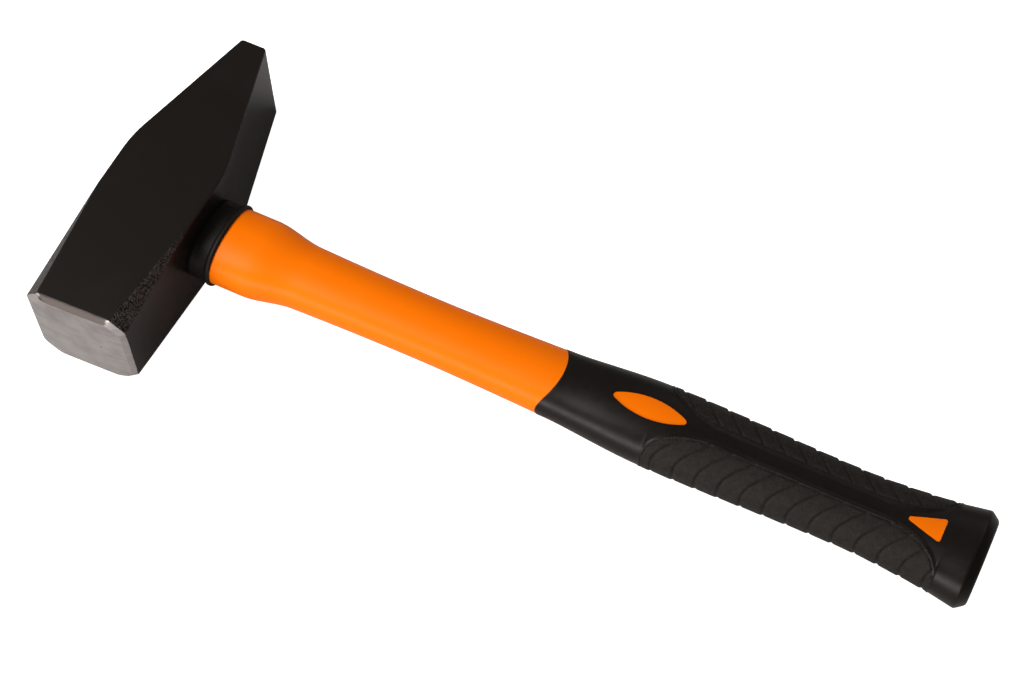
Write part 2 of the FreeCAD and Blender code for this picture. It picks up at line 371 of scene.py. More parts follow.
def build_turning_tree():
    """Bends a grid round the axis so that its rows follow an outline."""
    tree = bpy.data.node_groups.new("oval_turning", "GeometryNodeTree")
    given = group_inputs(tree, [
        ("Outline", "NodeSocketGeometry", None),
        ("Points Around", "NodeSocketInt", 64),
        ("Squareness", "NodeSocketFloat", 2.2),
        ("Axis Height", "NodeSocketFloat", AXIS_Z),
        ("Front Arc Radius", "NodeSocketFloat", 23.1 * MM),
        ("Front Arc Half Width", "NodeSocketFloat", 15.3 * MM),
        ("Material", "NodeSocketMaterial", None),
    ])
    nodes, links = tree.nodes, tree.links

    count = nodes.new("GeometryNodeAttributeDomainSize")
    links.new(given["Outline"].socket, count.inputs["Geometry"])
    rings = Field(tree, count.outputs["Point Count"])
    grid = nodes.new("GeometryNodeMeshGrid")
    links.new(given["Points Around"].socket, grid.inputs["Vertices X"])
    links.new(rings.socket, grid.inputs["Vertices Y"])
    turn_share, row_share, _ = split(tree, grid.outputs["UV Map"])
    turn = turn_share * (2 * math.pi)
    row = (row_share * (rings - 1.0)).math("ROUND")

    def of_outline(kind, source):
        """A value of the outline point that belongs to the grid's row."""
        node = nodes.new("GeometryNodeSampleIndex")
        node.data_type = kind
        links.new(given["Outline"].socket, node.inputs["Geometry"])
        links.new(source, node.inputs["Value"])
        links.new(row.socket, node.inputs["Index"])
        return node.outputs["Value"]

    position = nodes.new("GeometryNodeInputPosition").outputs[0]
    place, half_width, half_height = split(tree, of_outline("FLOAT_VECTOR", position))
    tongue = Field(tree, of_outline("FLOAT", attribute(tree, "tongue").socket))
    skin = Field(tree, of_outline("FLOAT", attribute(tree, "skin").socket))
    exponent = 2.0 / given["Squareness"]

    def squared_off(wave):
        return wave.math("SIGN") * wave.size() ** exponent

    across = half_width * squared_off(turn.math("COSINE"))
    up = half_height * squared_off(turn.math("SINE"))
    radius = given["Front Arc Radius"]
    chord = given["Front Arc Half Width"]
    bulge = (radius * radius - across * across).root() - (radius * radius - chord * chord).root()
    along = place + tongue * bulge

    point = nodes.new("ShaderNodeCombineXYZ")
    for axis, value in zip("XYZ", (along, across, up + given["Axis Height"])):
        links.new(value.socket, point.inputs[axis])
    bent = nodes.new("GeometryNodeSetPosition")
    links.new(grid.outputs["Mesh"], bent.inputs["Geometry"])
    links.new(point.outputs[0], bent.inputs["Position"])
    marked = store(tree, bent.outputs[0], "half_width", half_width)
    marked = store(tree, marked, "skin", skin)
    weld = nodes.new("GeometryNodeMergeByDistance")
    weld.inputs["Distance"].default_value = 0.002 * MM
    links.new(marked, weld.inputs["Geometry"])
    finish_tree(tree, weld.outputs[0], given["Material"].socket)
    return tree


turning_tree = build_turning_tree()
print("oval turning tree:", len(turning_tree.nodes), "nodes")

# %% Turned pieces


def turned(name, points, around, material):
    """Piece turned from points (x, half width, half height, tongue, skin) in millimetres.

    tongue and skin are 0 where a point leaves them out.
    """
    points = [(*point, 0.0, 0.0)[:5] for point in points]
    mesh = bpy.data.meshes.new(name)
    mesh.from_pydata([(x * MM, wide * MM, high * MM) for x, wide, high, tongue, skin in points],
                     [(i, i + 1) for i in range(len(points) - 1)], [])
    for column, label in ((3, "tongue"), (4, "skin")):
        values = mesh.attributes.new(label, "FLOAT", "POINT")
        values.data.foreach_set("value", [point[column] for point in points])
    piece = add_object(name, mesh)
    run_tree(piece, turning_tree, {"Points Around": around + 1, "Material": material})
    return outwards(piece)


def outwards(piece):
    """Turns every face outwards and shades the piece smooth."""
    shape = bmesh.new()
    shape.from_mesh(piece.data)
    bmesh.ops.dissolve_degenerate(shape, edges=shape.edges, dist=MERGE)
    bmesh.ops.recalc_face_normals(shape, faces=shape.faces)
    shape.to_mesh(piece.data)
    shape.free()
    piece.data.shade_smooth()
    return piece


print("ready: turned, outwards")

# %% [markdown]
# ## The finishes
#
# Each finish is a Principled shader. What varies over a surface comes from small shader groups that are built
# once: a grain that gives a height, and handling marks that change colour and roughness a little. The shader
# itself and everything that is the same all over stay in the material.

# %% Texture helpers


def shader_group(name, inputs, outputs):
    """Empty shader node group with float inputs (name, default) and named float outputs."""
    tree = bpy.data.node_groups.new(name, "ShaderNodeTree")
    given = group_inputs(tree, [(label, "NodeSocketFloat", value) for label, value in inputs])
    for label in outputs:
        tree.interface.new_socket(name=label, in_out="OUTPUT", socket_type="NodeSocketFloat")
    return tree, given, tree.nodes.new("NodeGroupOutput")


def put_out(tree, out, **fields):
    """Links fields to a group's outputs."""
    for label, field in fields.items():
        tree.links.new(field.socket, out.inputs[label])


def object_point(tree, stretch=(1, 1, 1)):
    """Object coordinates, stretched along each axis."""
    source = tree.nodes.new("ShaderNodeTexCoord")
    mapping = tree.nodes.new("ShaderNodeMapping")
    mapping.inputs["Scale"].default_value = stretch
    tree.links.new(source.outputs["Object"], mapping.inputs["Vector"])
    return mapping.outputs[0]


def noise(tree, vector, scale, detail=2.0, roughness=0.5):
    """Noise between about 0.2 and 0.8 at a number of lumps per metre."""
    node = tree.nodes.new("ShaderNodeTexNoise")
    tree.links.new(vector, node.inputs["Vector"])
    feed(tree, scale, node.inputs["Scale"])
    node.inputs["Detail"].default_value = detail
    node.inputs["Roughness"].default_value = roughness
    return Field(tree, node.outputs[0])


def cells(tree, vector, scale):
    """Distance to the nearest of many scattered points."""
    node = tree.nodes.new("ShaderNodeTexVoronoi")
    tree.links.new(vector, node.inputs["Vector"])
    feed(tree, scale, node.inputs["Scale"])
    return Field(tree, node.outputs["Distance"])


print("ready: shader_group, put_out, noise, cells")

# %% Shared shader groups


def build_grain_group():
    """Moulded or sprayed surface: fine lumps on faint waves."""
    tree, given, out = shader_group("surface_grain", [("Lumps", 2500.0), ("Waves", 220.0)],
                                    ["Height", "Patches"])
    place = object_point(tree)
    fine = noise(tree, place, given["Lumps"], 3.0)
    waves = noise(tree, place, given["Waves"], 2.0)
    put_out(tree, out, Height=fine * 0.7 + waves * 0.3, Patches=waves.smooth(0.3, 0.7))
    return tree


def build_scuff_group():
    """Handling marks: sparse short scratches that run mostly along the handle, and pale rub marks."""
    tree, given, out = shader_group("handling_scuffs", [("Amount", 1.0)], ["Scratches", "Rubs"])
    lines = noise(tree, object_point(tree, (60, 900, 900)), 1.0, 2.0)
    where = noise(tree, object_point(tree), 45.0, 1.0)
    amount = given["Amount"]
    scratches = lines.smooth(0.70, 0.76) * where.smooth(0.55, 0.65) * amount
    rubs = noise(tree, object_point(tree), 18.0, 4.0, 0.65).smooth(0.5, 0.75) * amount
    put_out(tree, out, Scratches=scratches, Rubs=rubs)
    return tree


grain_group = build_grain_group()
scuff_group = build_scuff_group()
print("shader groups:", grain_group.name, scuff_group.name)

# %% Material helpers


class Finish:
    """A Principled material under construction."""

    def __init__(self, name, **settings):
        self.material = bpy.data.materials.new(name)
        self.material.use_nodes = True
        self.tree = self.material.node_tree
        self.shader = self.tree.nodes["Principled BSDF"]
        for label, value in settings.items():
            self.shader.inputs[label].default_value = value

    def group(self, group, **values):
        """Adds a shader group and returns its outputs as fields, by name."""
        node = self.tree.nodes.new("ShaderNodeGroup")
        node.node_tree = group
        for label, value in values.items():
            node.inputs[label].default_value = value
        return {socket.name: Field(self.tree, socket) for socket in node.outputs}

    def colours(self, factor, first, second):
        """Colour that goes from first to second as factor goes from 0 to 1. Either may be a socket."""
        node = self.tree.nodes.new("ShaderNodeMix")
        node.data_type = "RGBA"
        self.tree.links.new(factor.socket, node.inputs[0])
        for slot, colour in ((node.inputs[6], first), (node.inputs[7], second)):
            if isinstance(colour, tuple):
                slot.default_value = (*colour, 1)
            else:
                self.tree.links.new(colour, slot)
        return node.outputs[2]

    def bump(self, height, depth, after=None):
        """Bump of a given depth in metres, on top of an earlier one."""
        node = self.tree.nodes.new("ShaderNodeBump")
        node.inputs["Distance"].default_value = depth
        self.tree.links.new(height.socket, node.inputs["Height"])
        if after:
            self.tree.links.new(after, node.inputs["Normal"])
        return node.outputs["Normal"]

    def drive(self, label, source):
        """Links a field or a socket to one of the shader's own inputs."""
        socket = source.socket if isinstance(source, Field) else source
        self.tree.links.new(socket, self.shader.inputs[label])

    def carried(self, name):
        """Value that the mesh's points carry under a name."""
        node = self.tree.nodes.new("ShaderNodeAttribute")
        node.attribute_name = name
        return Field(self.tree, node.outputs["Fac"])


print("ready: Finish")

# %% [markdown]
# ### Orange jacket
#
# Injection-moulded polypropylene: saturated colour, a satin skin with a very fine grain, and a few rub marks
# where the skin is polished smoother or has gone slightly pale.

# %% Orange jacket material
orange = Finish("orange_polypropylene", **{"Specular IOR Level": 0.10})
grain = orange.group(grain_group, Lumps=2600.0, Waves=160.0)
marks = orange.group(scuff_group, Amount=0.8)
orange.drive("Base Color", orange.colours(marks["Rubs"] * 0.25, (0.94, 0.179, 0.0), (0.95, 0.199, 0.002)))
orange.drive("Roughness", grain["Patches"] * 0.05 + marks["Scratches"] * 0.15 + 0.33)
orange.drive("Normal", orange.bump(grain["Height"], 0.02 * MM))
print("material:", orange.material.name)

# %% [markdown]
# ### Black rubber of the grip and the collar
#
# The grip is smooth at its throat and butt and stippled on its side pads. The mesh carries a `pad` value, so
# one material can hold both: where `pad` is 1 the surface is rougher, greyer and covered in small pits.

# %% Rubber materials


def rubber(name, dark, pad_grey, roughness):
    """Black rubber: smooth where pad is 0, stippled and greyer where it is 1."""
    made = Finish(name, **{"Specular IOR Level": 0.19})
    grain = made.group(grain_group, Lumps=3000.0, Waves=300.0)
    marks = made.group(scuff_group, Amount=0.6)
    pad = made.carried("pad")
    stipple = noise(made.tree, object_point(made.tree), 1100.0, 5.0, 0.7)
    mottle = noise(made.tree, object_point(made.tree), 420.0, 4.0, 0.7).smooth(0.3, 0.7)
    greyer = pad * (mottle * 0.9 + stipple.smooth(0.35, 0.7) * 0.5)
    made.drive("Base Color", made.colours(greyer, dark, pad_grey))
    made.drive("Roughness", grain["Patches"] * 0.06 + pad * 0.2 + marks["Scratches"] * 0.12 + roughness)
    moulded = made.bump(grain["Height"], 0.03 * MM)
    made.drive("Normal", made.bump(stipple * pad, 0.4 * MM, moulded))
    return made.material


grip_rubber = rubber("grip_rubber", (0.0066, 0.0050, 0.0042), (0.0150, 0.0120, 0.0100), 0.33)
collar_rubber = rubber("collar_rubber", (0.0066, 0.0048, 0.0040), (0.02, 0.02, 0.02), 0.50)
print("materials:", grip_rubber.name, collar_rubber.name)

# %% [markdown]
# ### Head paint, ground steel and hidden resin
#
# The forged head is dipped in black paint, which rounds its edges and leaves a semi-gloss skin. The
# corner cuts are stippled by the forging die, and the paint stands on them in small beads, whose glints
# are painted into the colour as light grey specks. The striking face is ground bare after painting, along
# the length of the handle, so the grinding lines all run one way and the paint stops at a slightly uneven
# line. The bevel above and below the face is painted darker, as painted shade, and the face has one small
# pit. One material holds paint and steel, told apart by the distance to the paint's edge, because on the
# real head the two are one surface.

# %% Belt grinding group
GROUND_FROM = head_low.y + 3.2 * MM
FACE_SLANT = 0.04
PIT_X, PIT_Z = 10.6 * MM, AXIS_Z + 1.9 * MM


def build_grinding_group():
    """Masks at the striking end: ground steel, belt lines, stains, the bevel's painted shade and the pit."""
    tree, given, out = shader_group("belt_grinding", [("Ground From", GROUND_FROM), ("Wobble", 0.25 * MM),
                                                     ("Slant", FACE_SLANT)],
                                    ["Bare", "Lines", "Stains", "Band", "Pit"])
    x, y, z = split(tree, object_point(tree))
    wobble = (noise(tree, object_point(tree), 160.0, 3.0) - 0.5) * given["Wobble"] * 4.0
    slant = x * given["Slant"]
    edge = y + wobble - slant - given["Ground From"]
    bare = edge.smooth(0.06 * MM, -0.06 * MM)
    coarse = noise(tree, object_point(tree, (40, 60, 2600)), 1.0, 2.0)
    fine = noise(tree, object_point(tree, (90, 60, 7000)), 1.0, 2.0)
    lines = coarse * 0.5 + fine * 0.5
    stains = noise(tree, object_point(tree), 90.0, 4.0, 0.6).smooth(0.35, 0.75)
    # Painted shade: the bevel strips above and below the face are darkened in colour for the dark they
    # reflect.
    painted_bevel_shade = (z - AXIS_Z).size().smooth(21.1 * MM, 21.5 * MM) * x.size().smooth(17.0 * MM, 15.0 * MM)
    pit = ((x - PIT_X) ** 2.0 + (z - PIT_Z) ** 2.0).root().smooth(0.6 * MM, 0.25 * MM)
    put_out(tree, out, Bare=bare, Lines=lines, Stains=stains, Band=painted_bevel_shade, Pit=pit)
    return tree


grinding_group = build_grinding_group()
print("shader group:", grinding_group.name)

# %% Painted and ground steel
steel = Finish("painted_and_ground_steel", **{"Specular IOR Level": 0.21})
grain = steel.group(grain_group, Lumps=700.0, Waves=130.0)
marks = steel.group(scuff_group, Amount=0.5)
ground = steel.group(grinding_group)
beads = steel.carried("cut") * (1.0 - ground["Bare"])
# Each paint bead is a real bump, and is also painted light grey as a painted glint.
bead_bumps_and_glints = 1.0 - cells(steel.tree, object_point(steel.tree), 1500.0).smooth(0.1, 0.7)
smooth_paint = steel.colours(marks["Rubs"], (0.0088, 0.0068, 0.0058), (0.0120, 0.0096, 0.0084))
# Painted glints: the paint turns light grey where the beads stand on the corner cuts.
paint = steel.colours(bead_bumps_and_glints * beads, smooth_paint, (0.062, 0.060, 0.056))
bare_steel = steel.colours(ground["Lines"].smooth(0.35, 0.65), (0.325, 0.305, 0.303), (0.463, 0.443, 0.441))
stained = steel.colours(ground["Stains"] * 0.45, bare_steel, (0.17, 0.15, 0.14))
# Painted shade on the bevel above and below the face, and the real pit, darken the bare steel.
bevel_shade_and_pit = steel.colours(ground["Band"] + ground["Pit"] * 0.8, stained, (0.060, 0.051, 0.047))
steel.drive("Base Color", steel.colours(ground["Bare"], paint, bevel_shade_and_pit))
steel.drive("Metallic", ground["Bare"])
painted_roughness = marks["Rubs"] * 0.05 + beads * 0.06 + 0.29
steel.drive("Roughness", painted_roughness + ground["Bare"] * 0.12)
skin_normal = steel.bump(grain["Height"], 0.03 * MM)
beaded = steel.bump(bead_bumps_and_glints * beads, 0.35 * MM, skin_normal)
steel.drive("Normal", steel.bump(ground["Lines"] * ground["Bare"], 0.02 * MM, beaded))
print("material:", steel.material.name)

# %% Hidden resin and glass fibre
resin = Finish("black_eye_resin", **{"Specular IOR Level": 0.5})
grain = resin.group(grain_group, Lumps=700.0, Waves=140.0)
resin.drive("Base Color", resin.colours(grain["Patches"], (0.012, 0.012, 0.013), (0.022, 0.021, 0.022)))
resin.drive("Roughness", grain["Patches"] * 0.1 + 0.25)
resin.drive("Normal", resin.bump(grain["Height"], 0.15 * MM))

glass = Finish("glass_fibre_core", **{"Specular IOR Level": 0.5})
strands = noise(glass.tree, object_point(glass.tree, (30, 1800, 1800)), 1.0, 3.0)
glass.drive("Base Color", glass.colours(strands, (0.50, 0.44, 0.28), (0.68, 0.62, 0.44)))
glass.drive("Roughness", strands * 0.2 + 0.35)
glass.drive("Normal", glass.bump(strands, 0.05 * MM))
print("materials:", resin.material.name, glass.material.name)

# %% [markdown]
# ## The handle's outline
#
# All the mouldings of the handle follow one outline, so it is written once: half width and half height at a
# few places, and a curve between them that never overshoots. The handle is widest at the palm and the butt,
# and slimmest half way to the grip.

# %% Outline of the handle
HEAD_SIDE = head_high.x / MM
GRIP_FRONT, BUTT = grip_low.x / MM, grip_high.x / MM
BUTT_BEVEL, BUTT_BEVEL_DROP = 4.0, 3.0
BUTT_EDGE = BUTT - BUTT_BEVEL
OUTLINE = [
    # place along X, half width, half height
    (HEAD_SIDE, 18.8, 12.5),
    (HEAD_SIDE + 25.0, 18.8, 12.5),
    (HEAD_SIDE + 48.0, 15.1, 10.6),
    ((HEAD_SIDE + 48.0 + GRIP_FRONT) / 2, 14.1, 9.9),
    (GRIP_FRONT, 15.3, 10.7),
    (GRIP_FRONT + 49.5, 18.5, 12.9),
    (BUTT - 55.0, 16.7, 11.7),
    (BUTT - 24.0, 18.6, 13.0),
    (BUTT_EDGE, 21.7, 15.2),
]


def slopes(places, values):
    """Slope at each place: level at a crest or a hollow, blended elsewhere."""
    steps = [(v1 - v0) / (x1 - x0) for x0, x1, v0, v1 in zip(places, places[1:], values, values[1:])]
    middle = [2 * a * b / (a + b) if a * b > 0 else 0.0 for a, b in zip(steps, steps[1:])]
    return [steps[0]] + middle + [steps[-1]]


def follow(column, x):
    """Half width (column 1) or half height (column 2) of the outline at x."""
    places = [station[0] for station in OUTLINE]
    values = [station[column] for station in OUTLINE]
    tilt = slopes(places, values)
    i = max(k for k in range(len(places) - 1) if places[k] <= x or k == 0)
    span = places[i + 1] - places[i]
    t = (x - places[i]) / span
    rise = values[i] * (1 + 2 * t) * (1 - t) ** 2 + values[i + 1] * t * t * (3 - 2 * t)
    return rise + span * (tilt[i] * t * (1 - t) ** 2 - tilt[i + 1] * t * t * (1 - t))


def ring(x, inset=0.0, tongue=0.0, skin=0.0):
    """One point of a turning outline, drawn in from the handle's outline."""
    return (x, follow(1, x) - inset, follow(2, x) - inset, tongue, skin)


def places(start, end, spacing):
    """Places from start to end, both included, about one spacing apart."""
    count = max(1, round(abs(end - start) / spacing))
    return [start + (end - start) * i / count for i in range(count + 1)]


print("half width at the waist:", round(follow(1, 129.25), 2), "mm, at the palm:", round(follow(1, 236.5), 2))

# %% [markdown]
# ## The grip
#
# The grip is a soft sleeve over the jacket's bed, with a curved front edge, a closed bevelled butt and two
# windows. It is turned as one closed shell, inner wall and outer skin together, so it needs no solidify step
# and its edges are real. Only the outer skin carries the mark `skin`, which the next tree uses.
#
# The side pads have swept ribs that overlap like scales. They repeat at one pitch and fade at the pads'
# borders, so a second Geometry Nodes tree raises them along the surface normal, and stores where the pads
# are, for the material.

# %% Turned grip
ARC_FADE = 28.0
BED = 2.4
JACKET_END = BUTT - 6.0
EDGE_RADIUS = 0.45
RIBBED_FROM, RIBBED_TO = 235.0, 362.0


def arc_weight(x):
    """How far a ring near the grip's front edge follows the curved edge."""
    return max(0.0, 1 - abs(x - GRIP_FRONT) / ARC_FADE)


def proud(x):
    """The rubber stands a little above the jacket at its front edge."""
    return 0.22 * max(0.0, 1 - (x - GRIP_FRONT) / 14.0) ** 2


def grip_outline():
    """Inner wall from back to front, rounded front edge, outer skin and bevelled butt."""
    line = [(JACKET_END, 0.0, 0.0)]
    line += [ring(x, BED, arc_weight(x)) for x in places(JACKET_END, GRIP_FRONT, 3.0)]
    for turn in map(math.radians, (0, 30, 60, 90)):
        x = GRIP_FRONT + EDGE_RADIUS * (1 - math.cos(turn))
        line.append(ring(x, EDGE_RADIUS * (1 - math.sin(turn)) - proud(x), arc_weight(x)))
    line += [ring(x, -proud(x), arc_weight(x), 1.0) for x in places(GRIP_FRONT + 1.0, RIBBED_FROM, 1.2)]
    line += [ring(x, 0.0, 0.0, 1.0) for x in places(RIBBED_FROM + 0.4, RIBBED_TO, 0.4)]
    line += [ring(x, 0.0, 0.0, 1.0) for x in places(RIBBED_TO + 0.7, BUTT_EDGE - 0.5, 0.7)]
    wide, high = follow(1, BUTT_EDGE), follow(2, BUTT_EDGE)
    bevel = BUTT_BEVEL_DROP / BUTT_BEVEL
    softened = ((0.0, 0.12), (0.5, 0.06), (1.0, 0.01), (1.6, 0.0), (2.9, 0.0), (3.4, 0.1), (3.8, 0.35))
    for run, extra in softened:
        drop = run * bevel + extra
        line.append((BUTT_EDGE + run, wide - drop, high - drop))
    line += [(BUTT, wide - drop, high - drop) for drop in (3.9, 4.8, 8.0)]
    return line + [(BUTT, 0.0, 0.0)]


grip = turned("grip_sleeve_moulding", grip_outline(), 176, grip_rubber)
report(grip)

# %% [markdown]
# ### Scale ribs
#
# A rib rises steeply from its notch, crests slowly and drops at the next notch. The notch line is swept back
# from the side of the handle towards its middle. A pad's border follows two quarter superellipses with a
# straight run between them, edged by a thin raised line with a groove inside it.

# %% The scale rib tree


def build_rib_tree():
    """Raises ribs and borders on the sleeve's skin, sinks the strip between the pads, and marks the pads."""
    tree = bpy.data.node_groups.new("scale_ribs", "GeometryNodeTree")
    given = group_inputs(tree, [
        ("Sleeve", "NodeSocketGeometry", None),
        ("First Notch", "NodeSocketFloat", 240.4),
        ("Pitch", "NodeSocketFloat", 9.8),
        ("Rib Height", "NodeSocketFloat", 0.7),
        ("Sweep", "NodeSocketFloat", 1.07),
        ("Sweep Rounding", "NodeSocketFloat", 3.5),
        ("Straight From", "NodeSocketFloat", 262.0),
        ("Straight To", "NodeSocketFloat", 334.0),
        ("Pad Corner Length", "NodeSocketFloat", 26.5),
        ("Pad Corner Width", "NodeSocketFloat", 14.0),
        ("Strip Half Width", "NodeSocketFloat", 4.1),
        ("Strip Depth", "NodeSocketFloat", 0.6),
        ("Border Height", "NodeSocketFloat", 0.3),
        ("Material", "NodeSocketMaterial", None),
    ])

    along, across, _ = split(tree, tree.nodes.new("GeometryNodeInputPosition").outputs[0])
    x = along / MM
    off_centre = across.size() / MM
    half_width = attribute(tree, "half_width") / MM
    skin = attribute(tree, "skin")

    def border(place):
        """Distance from the middle line to the pad's border at a place along the handle."""
        front = given["Straight From"] - place
        rear = place - given["Straight To"]
        over = front.math("MAXIMUM", rear) / given["Pad Corner Length"]
        inside = over.math("MAXIMUM", 0.0).math("MINIMUM", 1.0)
        corner = (1.0 - (1.0 - inside ** 1.85) ** (1 / 1.85)) * given["Pad Corner Width"]
        beyond = (over - 1.0).math("MAXIMUM", 0.0) * 400.0
        return corner + beyond + given["Strip Half Width"]

    slope = (border(x + 0.2) - border(x - 0.2)) / 0.4
    inside = (off_centre - border(x)) / (slope * slope + 1.0).root()
    pad = inside.smooth(0.15, 0.6) * skin

    from_side = half_width - off_centre
    rounding = given["Sweep Rounding"]
    sweep = ((from_side * from_side + rounding * rounding).root() - rounding) * given["Sweep"]
    phase = ((x - given["First Notch"] - sweep) / given["Pitch"]).math("FRACT")
    steep_to, crest_to = 0.16, 0.88
    climb = 1.0 - (1.0 - (phase / steep_to).math("MINIMUM", 1.0)) ** 2.0
    crest = ((phase - steep_to) / (crest_to - steep_to)).math("MAXIMUM", 0.0).math("MINIMUM", 1.0)
    rib = (climb * 0.74 + crest * 0.26) * phase.smooth(1.0, crest_to) * given["Rib Height"]

    ridge = inside.smooth(-0.75, -0.1) * inside.smooth(0.5, 0.1) * given["Border Height"]
    groove = inside.smooth(0.3, 0.75) * inside.smooth(1.25, 0.8) * -0.25
    strip = inside.smooth(-0.4, -1.4) * x.smooth(240.0, 270.0) * x.smooth(362.0, 345.0)
    raised = (rib - 0.4) * inside.smooth(0.6, 1.1) + groove + ridge - strip * given["Strip Depth"]

    normal = tree.nodes.new("GeometryNodeInputNormal").outputs[0]
    shift = tree.nodes.new("ShaderNodeVectorMath")
    shift.operation = "SCALE"
    tree.links.new(normal, shift.inputs[0])
    tree.links.new((raised * skin * MM).socket, shift.inputs["Scale"])
    moved = tree.nodes.new("GeometryNodeSetPosition")
    tree.links.new(given["Sleeve"].socket, moved.inputs["Geometry"])
    tree.links.new(shift.outputs[0], moved.inputs["Offset"])
    marked = store(tree, moved.outputs[0], "pad", pad)
    finish_tree(tree, marked, given["Material"].socket)
    return tree


rib_tree = build_rib_tree()
run_tree(grip, rib_tree, {"Material": grip_rubber})
report(grip)

# %% [markdown]
# ### Windows
#
# Two windows go through the grip and show the orange jacket: a pointed oval near the front, and a triangle
# near the butt. Each is an upright prism. It is cut out of the grip, and a slightly smaller prism, trimmed
# to the grip's own surface, is joined to the jacket, so that the orange fills the window just below flush.

# %% Window outlines
OVAL_START, OVAL_LENGTH, OVAL_WIDTH, OVAL_ROUNDING = GRIP_FRONT + 26.8, 35.6, 10.0, 1.5
OVAL_STEPS = 24
TRIANGLE_BASE, TRIANGLE_LENGTH, TRIANGLE_WIDTH, TRIANGLE_ROUNDING = BUTT - 18.5, 16.6, 11.4, 1.0
CUTTER_BOTTOM, CUTTER_TOP, BOSS_BOTTOM, BOSS_TOP = -1.0, 48.0, 2.0, 45.0


def rounded_polygon(corners, radius, steps=6):
    """Closed polygon, anticlockwise, with its corners rounded."""
    line = []
    for i, here in enumerate(corners):
        before, after = corners[i - 1], corners[(i + 1) % len(corners)]
        back = (before - here).normalized()
        ahead = (after - here).normalized()
        half_angle = back.angle(ahead) / 2
        centre = here + (back + ahead).normalized() * radius / math.sin(half_angle)
        first = here + back * radius / math.tan(half_angle) - centre
        sweep = math.pi - 2 * half_angle
        for step in range(steps + 1):
            turn = sweep * step / steps
            line.append(centre + Vector((first.x * math.cos(turn) - first.y * math.sin(turn),
                                         first.x * math.sin(turn) + first.y * math.cos(turn))))
    return line


def oval_window(inset):
    """Lens of two arcs with rounded ends."""
    middle = OVAL_START + OVAL_LENGTH / 2
    half_length, side = OVAL_LENGTH / 2, OVAL_WIDTH / 2
    radius = (half_length ** 2 + side ** 2) / (2 * side)
    end = OVAL_ROUNDING
    reach = math.sqrt((radius - end) ** 2 - (radius - side) ** 2)
    meet = math.asin(reach / (radius - end))
    line = []
    for step in places(-meet, meet, 2 * meet / OVAL_STEPS):
        line.append(Vector((middle + (radius - inset) * math.sin(step),
                            side - radius + (radius - inset) * math.cos(step))))
    for turn in places(math.pi / 2 - meet, meet - math.pi / 2, math.pi / 10):
        line.append(Vector((middle + reach + (end - inset) * math.cos(turn),
                            (end - inset) * math.sin(turn))))
    upper = line[:OVAL_STEPS + 1]
    nose = line[OVAL_STEPS + 2:-1]
    lower = [Vector((p.x, -p.y)) for p in reversed(upper)]
    tail = [Vector((2 * middle - p.x, -p.y)) for p in nose]
    return upper + nose + lower + tail


def triangle_window(inset):
    """Triangle that points to the head."""
    side = TRIANGLE_WIDTH / 2
    corners = [Vector((TRIANGLE_BASE - TRIANGLE_LENGTH, 0.0)), Vector((TRIANGLE_BASE, -side)),
               Vector((TRIANGLE_BASE, side))]
    middle = (corners[0] + corners[1] + corners[2]) / 3
    inner = TRIANGLE_LENGTH / 3
    corners = [middle + (corner - middle) * (1 - inset / inner) for corner in corners]
    return rounded_polygon(corners, TRIANGLE_ROUNDING - inset)


def prism(name, polygon, low, high):
    """Upright prism over a polygon in millimetres."""
    count = len(polygon)
    rows = [(p.x * MM, p.y * MM, z * MM) for z in (low, high) for p in polygon]
    faces = [list(range(count)), list(range(count, 2 * count))]
    faces += [[i, (i + 1) % count, count + (i + 1) % count, count + i] for i in range(count)]
    return new_piece(name, rows, faces)


WINDOWS = (("oval", oval_window), ("triangle", triangle_window))
print("points round each window:", {name: len(window(0.0)) for name, window in WINDOWS})

# %% Cut the windows
PLUG_START, PLUG_INSET = 200.0, 0.35
plug_outline = [(PLUG_START, 0.0, 0.0)]
plug_outline += [ring(x, PLUG_INSET) for x in places(PLUG_START, BUTT_EDGE, 2.0)]
plug_outline += [(BUTT_EDGE, 0.0, 0.0)]
grip_plug = turned("grip_plug", plug_outline, 96, orange.material)
for name, window in WINDOWS:
    cutter = prism(name + "_cutter", window(0.0), CUTTER_BOTTOM, CUTTER_TOP)
    cutter.data.materials.append(grip_rubber)
    cut_or_join(grip, cutter, "DIFFERENCE")
    print(name, "window cut, grip faces:", len(grip.data.polygons))
crisp(grip)

# %% [markdown]
# ## The jacket
#
# The jacket is turned from the same outline. It starts inside the head's eye as a slim tongue, steps out to
# the neck behind the collar, runs to the grip's curved edge, then steps in by the grip's wall and goes on as
# a plain bed that only shows through the windows.

# %% Turned jacket
TONGUE_START = head_low.x / MM + 3.2
NECK = collar_high.x / MM - 1.0
TONGUE_WIDE, TONGUE_HIGH = 15.8, 9.5


def jacket_outline():
    """Tongue, neck and throat, then the bed under the grip."""
    edge = 1.0
    line = [(TONGUE_START, 0.0, 0.0), (TONGUE_START, TONGUE_WIDE - edge, TONGUE_HIGH - edge),
            (TONGUE_START + edge, TONGUE_WIDE, TONGUE_HIGH)]
    line += [(x, TONGUE_WIDE, TONGUE_HIGH) for x in places(TONGUE_START + 2.0, NECK, 8.0)]
    line += [ring(x) for x in places(NECK, GRIP_FRONT - ARC_FADE, 1.5)]
    line += [ring(x, 0.0, arc_weight(x)) for x in places(GRIP_FRONT - ARC_FADE + 1.0, GRIP_FRONT, 1.5)]
    line += [ring(x, BED + 0.05, arc_weight(x)) for x in places(GRIP_FRONT, JACKET_END, 2.0)]
    return line + [(JACKET_END, 0.0, 0.0)]


